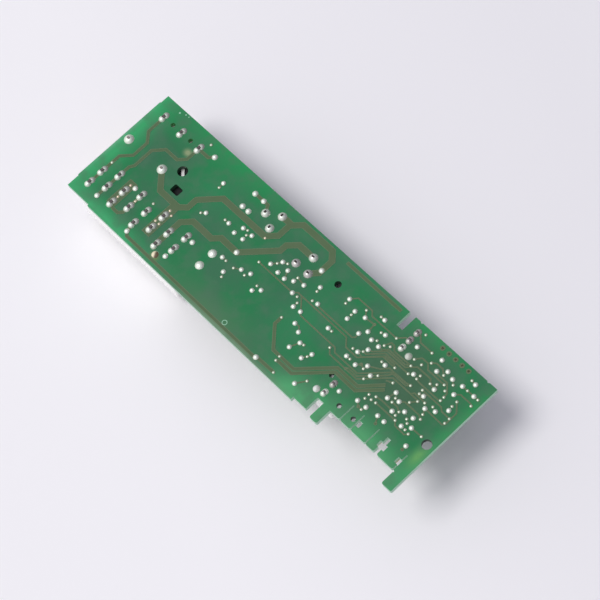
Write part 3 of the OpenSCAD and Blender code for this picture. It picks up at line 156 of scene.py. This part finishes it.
def masked_laminate():
    """Glass cloth in resin under green solder mask; its routed walls are bare and glow with painted
    light, as if passing on light.
    """
    # The emission strength is for the painted glow of the routed walls
    material, tree, shader, place = start(
        "masked_glass_cloth_laminate",
        Roughness=0.4, IOR=1.5, Specular_IOR_Level=0.15, Emission_Strength=0.3,
    )
    cloud = add(tree, "TexNoise", Vector=place, Scale=1 / (8 * MM), Detail=3.0).outputs["Fac"]
    cloud = add(tree, "MapRange", Value=cloud, From_Min=0.38, From_Max=0.62).outputs["Result"]
    colour = add(
        tree, "Mix", COLOURS, _0=cloud, _6=linear("#257949"), _7=linear("#39704f"),
    ).outputs[2]
    # Patches of painted glow and shade, then the real dried flux
    for column, row, half_l, half_w, shade, strength in PAINTED_GLOW_AND_SHADE + FLUX:
        fade = patch(tree, place, column, row, half_l, half_w, "QUADRATIC_SPHERE")
        fade = add(tree, "MapRange", Value=fade, From_Max=1 / strength).outputs["Result"]
        colour = add(tree, "Mix", COLOURS, _0=fade, _6=colour, _7=linear(shade)).outputs[2]
    # Flux left by the wash mottles the mask
    mottle = add(tree, "TexNoise", Vector=place, Scale=1 / (4.5 * MM), Detail=4.0).outputs["Fac"]
    mottle = add(
        tree, "MapRange", Value=mottle, From_Min=0.46, From_Max=0.66, To_Max=0.42,
    ).outputs["Result"]
    colour = add(tree, "Mix", COLOURS, _0=mottle, _6=colour, _7=linear("#4e7359")).outputs[2]
    # Routed walls: glass and resin in fine layers; their pale colour and their glow are painted
    # light, for light that falls on the face and passes through
    layers = add(tree, "Mapping", Vector=place, Scale=(0.15, 0.15, 1.0)).outputs[0]
    layers = add(tree, "TexNoise", Vector=layers, Scale=1 / (0.35 * MM)).outputs["Fac"]
    wall = add(
        tree, "Mix", COLOURS, _0=layers, _6=linear("#86a792"), _7=linear("#95b39f"),
    ).outputs[2]
    # Painted shade inside the drilled holes
    for column, row, half_l, half_w, shade in SHADED_HOLES:
        inside = patch(tree, place, column, row, half_l, half_w, "SPHERICAL")
        inside = add(tree, "Math", {"operation": "GREATER_THAN"}, _0=inside, _1=0.0).outputs[0]
        wall = add(tree, "Mix", COLOURS, _0=inside, _6=wall, _7=linear(shade)).outputs[2]
    # Level faces show the mask, upright ones the wall
    facing = add(tree, "NewGeometry").outputs["True Normal"]
    up = add(tree, "SeparateXYZ", Vector=facing).outputs["Z"]
    level = add(tree, "Math", {"operation": "ABSOLUTE"}, _0=up).outputs[0]
    level = add(tree, "MapRange", Value=level, From_Min=0.3, From_Max=0.7).outputs["Result"]
    colour = add(tree, "Mix", COLOURS, _0=level, _6=wall, _7=colour).outputs[2]
    tree.links.new(colour, shader.inputs["Base Color"])
    # Upright walls also emit their own colour: a painted glow, though no lamp is there
    glow = add(tree, "Mix", COLOURS, _0=level, _6=wall, _7=linear("#000000")).outputs[2]
    tree.links.new(glow, shader.inputs["Emission Color"])
    weave = add(tree, "TexNoise", Vector=place, Scale=1 / (1.2 * MM)).outputs["Fac"]
    uneven = add(tree, "Bump", Height=weave, Distance=0.01 * MM, Strength=0.5).outputs[0]
    tree.links.new(uneven, shader.inputs["Normal"])
    return material


def masked_copper():
    """Copper under green solder mask: a dull olive, paler and browner at the edges of a track."""
    material, tree, shader, place = start(
        "copper_under_solder_mask", Roughness=0.4, IOR=1.5, Specular_IOR_Level=0.15,
    )
    cloud = add(tree, "TexNoise", Vector=place, Scale=1 / (4 * MM), Detail=3.0).outputs["Fac"]
    cloud = add(tree, "MapRange", Value=cloud, From_Min=0.35, From_Max=0.65).outputs["Result"]
    colour = add(
        tree, "Mix", COLOURS, _0=cloud, _6=linear("#546b4a"), _7=linear("#596d4e"),
    ).outputs[2]
    # The mask runs thin at the edges of a track
    facing = add(tree, "NewGeometry").outputs["True Normal"]
    turned = add(tree, "Bevel", {"samples": 6}, Radius=0.22 * MM).outputs[0]
    turn = add(
        tree, "VectorMath", {"operation": "DOT_PRODUCT"}, _0=facing, _1=turned,
    ).outputs["Value"]
    edge = add(tree, "MapRange", Value=turn, From_Min=0.99, From_Max=0.85).outputs["Result"]
    colour = add(tree, "Mix", COLOURS, _0=edge, _6=colour, _7=linear("#81886c")).outputs[2]
    tree.links.new(colour, shader.inputs["Base Color"])
    return material


# Tints of the solder. Each: column, row, reach in millimetres, colour.
# Burnt flux has dulled three signal joints, and two joints of a power device a little less
BURNT_SKIN = "#b3b0a8"
BURNT = (
    (109.5, 34.2, 2.2, BURNT_SKIN),
    (109.6, 37.3, 2.4, BURNT_SKIN),
    (103.5, 10.9, 2.2, BURNT_SKIN),
)
DULL_SKIN = "#c3c0ba"
DULLED = (
    (68.6, 28.6, 2.8, DULL_SKIN),
    (73.8, 28.6, 2.8, DULL_SKIN),
)
# Copper shows through the thin solder of some vias
COPPER_SKIN = "#dccbb0"
COPPERY = (
    (15.5, 10.3, 7.0, COPPER_SKIN),
    (29.7, 12.3, 6.0, COPPER_SKIN),
    (56.4, 28.0, 2.0, COPPER_SKIN),
)

# Rows of tab legs, a pitch apart: a place on the first row, and how far a step along X and along Y
# leads across the rows. The load tabs are staggered, so their rows run aslant
LEG_PITCH = 5.0 * MM
LOAD_LEGS = ((4.32, 5.11), (0.5, 1.0, 0.0))
MAINS_LEGS = ((4.55, 34.35), (0.0, 1.0, 0.0))
# Painted shade on the lobe past a leg, which lies away from the lamp in the tab's shadow: how far
# past until it is full, and its colour
FAR_LOBE_SHADE_REACH = 0.6 * MM
FAR_LOBE_SHADE = "#bcc0b4"


def tin_solder(name, light, dark, tints=(), legs=None):
    """Wave-soldered tin: bright, but dull under burnt flux, with painted shade on the lobe past a
    leg.
    """
    material, tree, shader, place = start(name, Metallic=0.5)
    skin = add(tree, "TexNoise", Vector=place, Scale=1 / (0.9 * MM), Detail=3.0).outputs["Fac"]
    skin = add(tree, "MapRange", Value=skin, From_Min=0.35, From_Max=0.7).outputs["Result"]
    colour = add(tree, "Mix", COLOURS, _0=skin, _6=linear(light), _7=linear(dark)).outputs[2]
    for column, row, reach, tint in tints:
        fade = patch(tree, place, column, row, reach, reach, "SPHERICAL")
        fade = add(tree, "MapRange", Value=fade, From_Max=0.6).outputs["Result"]
        colour = add(tree, "Mix", COLOURS, _0=fade, _6=colour, _7=linear(tint)).outputs[2]
    # Painted shade past each leg, on the lobe away from the lamp
    if legs:
        first, across = legs
        past = add(
            tree, "VectorMath", {"operation": "SUBTRACT"}, _0=place, _1=spot(*first),
        ).outputs["Vector"]
        past = add(
            tree, "VectorMath", {"operation": "DOT_PRODUCT"}, _0=past, _1=across,
        ).outputs["Value"]
        past = add(
            tree, "Math", {"operation": "WRAP"}, _0=past, _1=LEG_PITCH / 2, _2=-LEG_PITCH / 2,
        ).outputs[0]
        far_lobe = add(
            tree, "MapRange", Value=past, From_Min=0.0, From_Max=FAR_LOBE_SHADE_REACH,
        ).outputs["Result"]
        colour = add(tree, "Mix", COLOURS, _0=far_lobe, _6=colour, _7=linear(FAR_LOBE_SHADE)).outputs[2]
    dull = add(tree, "MapRange", Value=skin, To_Min=0.3, To_Max=0.42).outputs["Result"]
    tree.links.new(colour, shader.inputs["Base Color"])
    tree.links.new(dull, shader.inputs["Roughness"])
    waves = add(tree, "TexNoise", Vector=place, Scale=1 / (0.6 * MM)).outputs["Fac"]
    uneven = add(tree, "Bump", Height=waves, Distance=0.04 * MM, Strength=0.5).outputs[0]
    tree.links.new(uneven, shader.inputs["Normal"])
    return material


# Leads and tabs are sheared off over the solder side: the cut darkens between these heights
CUT_FROM = FACE_Z + 0.5 * MM
CUT_FULL = FACE_Z + 0.7 * MM


def cut_lead(name, light, dark, tip):
    """Tinned lead whose sheared end, above the board, is dark."""
    material, tree, shader, place = start(name, Metallic=1.0, Roughness=0.38)
    cloud = add(tree, "TexNoise", Vector=place, Scale=1 / (0.8 * MM), Detail=3.0).outputs["Fac"]
    tin = add(tree, "Mix", COLOURS, _0=cloud, _6=linear(light), _7=linear(dark)).outputs[2]
    height = add(tree, "SeparateXYZ", Vector=place).outputs["Z"]
    sheared = add(
        tree, "MapRange", Value=height, From_Min=CUT_FROM, From_Max=CUT_FULL,
    ).outputs["Result"]
    colour = add(tree, "Mix", COLOURS, _0=sheared, _6=tin, _7=linear(tip)).outputs[2]
    tree.links.new(colour, shader.inputs["Base Color"])
    return material


def moulded(name, light, dark, rough=0.5, grit_mm=0.6):
    """Moulded plastic or cast resin: even colour, a faint cloud and a fine spark-eroded skin."""
    material, tree, shader, place = start(name, Roughness=rough, IOR=1.5)
    cloud = add(tree, "TexNoise", Vector=place, Scale=1 / (5 * MM), Detail=3.0).outputs["Fac"]
    cloud = add(tree, "MapRange", Value=cloud, From_Min=0.3, From_Max=0.7).outputs["Result"]
    colour = add(tree, "Mix", COLOURS, _0=cloud, _6=linear(light), _7=linear(dark)).outputs[2]
    tree.links.new(colour, shader.inputs["Base Color"])
    grit = add(tree, "TexNoise", Vector=place, Scale=1 / (grit_mm * MM)).outputs["Fac"]
    uneven = add(tree, "Bump", Height=grit, Distance=0.03 * MM, Strength=0.4).outputs[0]
    tree.links.new(uneven, shader.inputs["Normal"])
    return material


# Light and dark tone of white nylon
NYLON = ("#faf9f6", "#f4f3ee")
# A peg's stain and painted shade, on its side away from the lamp: the way it faces, and where it
# starts and is full, in millimetres across the peg
STAIN_AND_SHADE_TURN = math.radians(25)
STAIN_AND_SHADE_FROM = -0.25
STAIN_AND_SHADE_FULL = 0.3
# The height from which the peg takes its own colour, in millimetres over the solder side
PEG_FROM = -0.4


def pegged_nylon(name, peg, bright, stained_and_shaded):
    """White moulded nylon whose peg, over the board, bears a heat and flux stain, darker on one
    side with painted shade.
    """
    material, tree, shader, place = start(name, Roughness=0.45, IOR=1.5)
    light, dark = NYLON
    cloud = add(tree, "TexNoise", Vector=place, Scale=1 / (5 * MM), Detail=3.0).outputs["Fac"]
    plain = add(tree, "Mix", COLOURS, _0=cloud, _6=linear(light), _7=linear(dark)).outputs[2]
    across = add(
        tree, "Mapping", {"vector_type": "TEXTURE"},
        Vector=place, Location=spot(*peg), Rotation=(0, 0, STAIN_AND_SHADE_TURN), Scale=(MM, MM, MM),
    ).outputs[0]
    axes = add(tree, "SeparateXYZ", Vector=across)
    # Across the peg: heat and flux stain, with painted shade on the side away from the lamp
    side = add(
        tree, "MapRange", Value=axes.outputs["X"], From_Min=STAIN_AND_SHADE_FROM, From_Max=STAIN_AND_SHADE_FULL,
    ).outputs["Result"]
    top = add(tree, "Mix", COLOURS, _0=side, _6=linear(bright), _7=linear(stained_and_shaded)).outputs[2]
    above = add(
        tree, "MapRange", Value=axes.outputs["Z"], From_Min=PEG_FROM, From_Max=0.0,
    ).outputs["Result"]
    colour = add(tree, "Mix", COLOURS, _0=above, _6=plain, _7=top).outputs[2]
    tree.links.new(colour, shader.inputs["Base Color"])
    return material


# Heights over the end of a can between which its sleeve begins
SLEEVE_FROM = 0.35 * MM
SLEEVE_FULL = 0.45 * MM


def sleeved_can(name, node):
    """Aluminium can in a shrunk sleeve: dark sleeve down the side, bare metal on the scored end."""
    material, tree, shader, place = start(name, Roughness=0.35)
    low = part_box(node)[0][2]
    height = add(tree, "SeparateXYZ", Vector=place).outputs["Z"]
    sleeve = add(
        tree, "MapRange", Value=height, From_Min=low + SLEEVE_FROM, From_Max=low + SLEEVE_FULL,
    ).outputs["Result"]
    cloud = add(tree, "TexNoise", Vector=place, Scale=1 / (3 * MM), Detail=3.0).outputs["Fac"]
    dark = add(
        tree, "Mix", COLOURS, _0=cloud, _6=linear("#1d2333"), _7=linear("#252c40"),
    ).outputs[2]
    bare = add(
        tree, "Mix", COLOURS, _0=cloud, _6=linear("#c9cbce"), _7=linear("#b4b7bb"),
    ).outputs[2]
    colour = add(tree, "Mix", COLOURS, _0=sleeve, _6=bare, _7=dark).outputs[2]
    metal = add(tree, "MapRange", Value=sleeve, To_Min=1.0, To_Max=0.0).outputs["Result"]
    tree.links.new(colour, shader.inputs["Base Color"])
    tree.links.new(metal, shader.inputs["Metallic"])
    return material


def sheet_metal(name, light, dark, rough):
    """Rolled and plated sheet metal: fine lengthwise streaks."""
    material, tree, shader, place = start(name, Metallic=1.0, Roughness=rough)
    along = add(tree, "Mapping", Vector=place, Scale=(1.0, 1.0, 0.1)).outputs[0]
    streak = add(tree, "TexNoise", Vector=along, Scale=1 / (0.4 * MM), Detail=3.0).outputs["Fac"]
    streak = add(tree, "MapRange", Value=streak, From_Min=0.35, From_Max=0.65).outputs["Result"]
    colour = add(tree, "Mix", COLOURS, _0=streak, _6=linear(light), _7=linear(dark)).outputs[2]
    tree.links.new(colour, shader.inputs["Base Color"])
    return material


# Light and dark tone of solder and of a tinned lead
BRIGHT_TIN = ("#edf3e3", "#dbe1d1")
TINNED = ("#cfccc6", "#b3afa8")

laminate = masked_laminate()
copper = masked_copper()
solder = tin_solder("bright_tin_solder", *BRIGHT_TIN, tints=BURNT)
device_solder = tin_solder("dulled_tin_solder", "#e2e7d9", "#cfd4c6", tints=DULLED)
load_solder = tin_solder("tin_solder_on_load_tabs", *BRIGHT_TIN, legs=LOAD_LEGS)
mains_solder = tin_solder("tin_solder_on_mains_tabs", *BRIGHT_TIN, legs=MAINS_LEGS)
thin_solder = tin_solder("thin_tin_solder", "#d5dfc8", "#c5cfb8", tints=COPPERY)
tinned_lead = cut_lead("tinned_copper_lead", *TINNED, tip="#453f3d")
bright_lead = cut_lead("tinned_copper_lead_wetted", *TINNED, tip="#8a807b")
tinned_tab = cut_lead("tinned_brass_tab", "#cdc9bf", "#b5b0a3", tip="#5d5755")
gold = sheet_metal("gold_plated_contact", "#d9b45c", "#c9a24c", rough=0.3)
heat_tab = sheet_metal("plated_copper_heat_tab", "#c8c8c6", "#b2b2b0", rough=0.35)
dull_terminal = sheet_metal("dull_tinned_terminal", "#d9d6d1", "#c5c2bd", rough=0.5)
load_nylon = pegged_nylon(
    "white_moulded_nylon", peg=(36.6, 2.76), bright="#efe3bf", stained_and_shaded="#6e5d44",
)
three_way_nylon = pegged_nylon(
    "white_staked_nylon", peg=(112.5, 30.4), bright="#c9ccc0", stained_and_shaded="#b0b5a6",
)
two_way_nylon = pegged_nylon(
    "white_staked_nylon_small", peg=(100.95, 6.5), bright="#dde0d9", stained_and_shaded="#c0c5ba",
)
mains_nylon = moulded("white_moulded_nylon_plain", *NYLON, rough=0.45, grit_mm=0.2)
black_epoxy = moulded("moulded_black_epoxy", "#1b1b1d", "#242426", rough=0.55)
rubber = moulded("black_rubber_bung", "#1c1c1c", "#262524", rough=0.75)
polyester = moulded("moulded_yellow_polyester_box", "#d8b23c", "#cba432", rough=0.45)
cement = moulded("cement_coated_resistor", "#7d8f86", "#71847b", rough=0.8, grit_mm=0.4)
ferrite = moulded("pressed_black_ferrite", "#0b0b0c", "#111112", rough=0.8, grit_mm=0.3)
glaze = moulded("glazed_black_chip_resistor", "#1a1a1e", "#232328", rough=0.3, grit_mm=0.3)
ceramic = moulded("fired_tan_ceramic", "#a58764", "#977a58", rough=0.5, grit_mm=0.3)
white_ink = moulded("screen_printed_white_ink", "#a0d0b1", "#90c2a1", rough=0.6, grit_mm=0.2)

FINISHES = {
    "laminate": laminate,
    "solder_side_copper": copper,
    "component_side_copper": copper,
    "edge_contacts": gold,
    "test_pad_solder": solder,
    "via_solder": thin_solder,
    "load_tab_joints": load_solder,
    "mains_tab_joints": mains_solder,
    "film_capacitor_joints": solder,
    "power_device_joints": device_solder,
    "reservoir_joints": solder,
    "small_lead_joints": solder,
    "signal_joints": solder,
    "load_housing": load_nylon,
    "mains_housing": mains_nylon,
    "three_way_housing": three_way_nylon,
    "two_way_housing": two_way_nylon,
    "load_tabs": tinned_tab,
    "mains_tabs": tinned_tab,
    "signal_pins": tinned_tab,
    "film_capacitor_case": polyester,
    "film_capacitor_leads": bright_lead,
    "reservoir_can": sleeved_can("sleeved_aluminium_can_large", "reservoir_can"),
    "reservoir_bung": rubber,
    "reservoir_leads": tinned_lead,
    "output_can": sleeved_can("sleeved_aluminium_can_small", "output_can"),
    "output_bung": rubber,
    "output_leads": tinned_lead,
    "power_device_cases": black_epoxy,
    "power_device_tabs": heat_tab,
    "power_device_leads": tinned_lead,
    "wire_wound_body": cement,
    "wire_wound_leads": tinned_lead,
    "choke_core": ferrite,
    "choke_terminals": dull_terminal,
    "controller_case": black_epoxy,
    "controller_leads": tinned_lead,
    "converter_case": black_epoxy,
    "converter_leads": tinned_lead,
    "diode_cases": black_epoxy,
    "diode_leads": tinned_lead,
    "transistor_cases": black_epoxy,
    "transistor_leads": tinned_lead,
    "chip_resistors": glaze,
    "chip_resistor_ends": solder,
    "chip_capacitors": ceramic,
    "chip_capacitor_ends": solder,
}
for name, finish in FINISHES.items():
    for slot in nodes[name].material_slots:
        slot.material = finish


# Marking ink

INK_T = 0.03 * MM
# Column, row and radius in millimetres of each speck of ink; the ring has two radii
INK_SPECKS = ((7.0, 38.5, 0.3), (8.9, 39.3, 0.25), (10.1, 39.4, 0.2))
INK_RING = (67.4, 2.3, 0.82, 0.62)
# A speck's radius at its top, as a share of the radius at its foot
SPECK_TAPER = 0.8
SPECK_SIDES = 14
RING_SIDES = 28


def ink_marks():
    """Specks of white marking ink near the corner and one small printed ring."""
    form = bmesh.new()
    for column, row, radius in INK_SPECKS:
        foot = radius * MM
        bmesh.ops.create_cone(
            form, cap_ends=True, segments=SPECK_SIDES,
            radius1=foot, radius2=SPECK_TAPER * foot, depth=INK_T,
            matrix=Matrix.Translation(spot(column, row, INK_T / 2)),
        )
    column, row, outer, inner = INK_RING
    rims = []
    for radius in (outer, inner):
        ring = bmesh.ops.create_circle(
            form, segments=RING_SIDES, radius=radius * MM,
            matrix=Matrix.Translation(spot(column, row)),
        )
        rims += {edge for vert in ring["verts"] for edge in vert.link_edges}
    flat = bmesh.ops.bridge_loops(form, edges=rims)["faces"]
    raised = bmesh.ops.extrude_face_region(form, geom=flat, use_keep_orig=True)["geom"]
    top = [part for part in raised if isinstance(part, bmesh.types.BMVert)]
    bmesh.ops.translate(form, vec=(0, 0, INK_T), verts=top)
    bmesh.ops.recalc_face_normals(form, faces=form.faces)
    mesh = bpy.data.meshes.new("ink_marks")
    form.to_mesh(mesh)
    form.free()
    ink = bpy.data.objects.new("ink_marks", mesh)
    bpy.context.scene.collection.objects.link(ink)
    mesh.materials.append(white_ink)
    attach(ink, "root")


ink_marks()


# Floor, light and camera

# The photograph's camera, in the frame of the board
CAMERA_PLACE = Vector((245.21, -101.70, 528.79)) * MM
CAMERA_RIGHT = Vector((0.67032, 0.72384, -0.16346))
CAMERA_UP = Vector((-0.61593, 0.66557, 0.42147))
FOCAL_PIXELS = 2045.16
IMAGE_PIXELS = 600
SENSOR_MM = 36.0


def photograph_camera():
    """A camera at the photograph's viewing angle."""
    data = bpy.data.cameras.new("camera")
    data.sensor_width = SENSOR_MM
    data.lens = FOCAL_PIXELS / IMAGE_PIXELS * SENSOR_MM
    camera = bpy.data.objects.new("camera", data)
    back = CAMERA_RIGHT.cross(CAMERA_UP)
    turn = Matrix((CAMERA_RIGHT, CAMERA_UP, back)).transposed().to_4x4()
    camera.matrix_world = Matrix.Translation(CAMERA_PLACE) @ turn
    bpy.context.scene.collection.objects.link(camera)
    bpy.context.scene.camera = camera


# Half the width of the floor, the way that leads away from the lamp, and where along it, in metres,
# the painted shade on the paper starts and is full
FLOOR_HALF = 3.0
FLOOR_AWAY = (0.43, 0.9, 0.0)
GREY_FROM = -0.04
GREY_FULL = 0.1


def pale_floor():
    """A wide sheet of pale paper under the board, painted a little greyer away from the lamp as
    shade.
    """
    mesh = bpy.data.meshes.new("floor")
    form = bmesh.new()
    bmesh.ops.create_grid(form, x_segments=1, y_segments=1, size=FLOOR_HALF)
    form.to_mesh(mesh)
    form.free()
    floor = bpy.data.objects.new("floor", mesh)
    bpy.context.scene.collection.objects.link(floor)
    material, tree, shader, place = start("pale_matt_paper", Roughness=0.9)
    away = add(
        tree, "VectorMath", {"operation": "DOT_PRODUCT"}, _0=place, _1=FLOOR_AWAY,
    ).outputs["Value"]
    away = add(
        tree, "MapRange", Value=away, From_Min=GREY_FROM, From_Max=GREY_FULL,
    ).outputs["Result"]
    colour = add(
        tree, "Mix", COLOURS, _0=away, _6=linear("#f5f3f3"), _7=linear("#eae8e9"),
    ).outputs[2]
    tree.links.new(colour, shader.inputs["Base Color"])
    mesh.materials.append(material)


# Towards the key lamp, its share of the light on level ground, and its width in degrees
KEY_DIRECTION = Vector((-5.4, -7.4, 20.0)).normalized()
KEY_SHARE = 0.445
KEY_ANGLE = 28.0
# Towards the bright side of the sky, its two levels, and how far to either side they are reached
SKY_SIDE = Vector((-0.35, -0.94, 0.0))
SKY_BRIGHT = 0.85
SKY_DIM = 0.28
SKY_REACH = 0.8
# What bright metal mirrors: white panels over the near left, which fade into a dim room behind them
PANEL_SIDE = Vector((-0.35, -0.55, 0.76))
PANEL_BRIGHT = 1.0
PANEL_DIM = 0.1
PANEL_FROM = -0.1
PANEL_FULL = 0.7


def studio_light():
    """One soft key lamp from the left, and a sky that is brighter on that side."""
    data = bpy.data.lights.new("key", "SUN")
    data.energy = KEY_SHARE * math.pi / KEY_DIRECTION.z
    data.angle = math.radians(KEY_ANGLE)
    lamp = bpy.data.objects.new("key", data)
    lamp.rotation_euler = KEY_DIRECTION.to_track_quat("Z", "Y").to_euler()
    bpy.context.scene.collection.objects.link(lamp)
    world = bpy.data.worlds.new("studio")
    bpy.context.scene.world = world
    world.use_nodes = True
    tree = world.node_tree
    background = tree.nodes["Background"]
    direction = add(tree, "TexCoord").outputs["Generated"]
    side = add(
        tree, "VectorMath", {"operation": "DOT_PRODUCT"}, _0=direction, _1=SKY_SIDE,
    ).outputs["Value"]
    sky = add(
        tree, "MapRange", Value=side,
        From_Min=-SKY_REACH, From_Max=SKY_REACH, To_Min=SKY_DIM, To_Max=SKY_BRIGHT,
    ).outputs["Result"]
    side = add(
        tree, "VectorMath", {"operation": "DOT_PRODUCT"}, _0=direction, _1=PANEL_SIDE,
    ).outputs["Value"]
    panels = add(
        tree, "MapRange", Value=side,
        From_Min=PANEL_FROM, From_Max=PANEL_FULL, To_Min=PANEL_DIM, To_Max=PANEL_BRIGHT,
    ).outputs["Result"]
    mirrored = add(tree, "LightPath").outputs["Is Glossy Ray"]
    level = add(tree, "Mix", NUMBERS, _0=mirrored, _2=sky, _3=panels).outputs[0]
    tree.links.new(level, background.inputs["Strength"])
    # The dim side of the sky is bluer
    tint = add(tree, "Mix", COLOURS, _0=sky, _6=linear("#dedfff"), _7=linear("#fdfcff")).outputs[2]
    tree.links.new(tint, background.inputs["Color"])


photograph_camera()
pale_floor()
studio_light()
bpy.context.scene.view_settings.view_transform = "Standard"
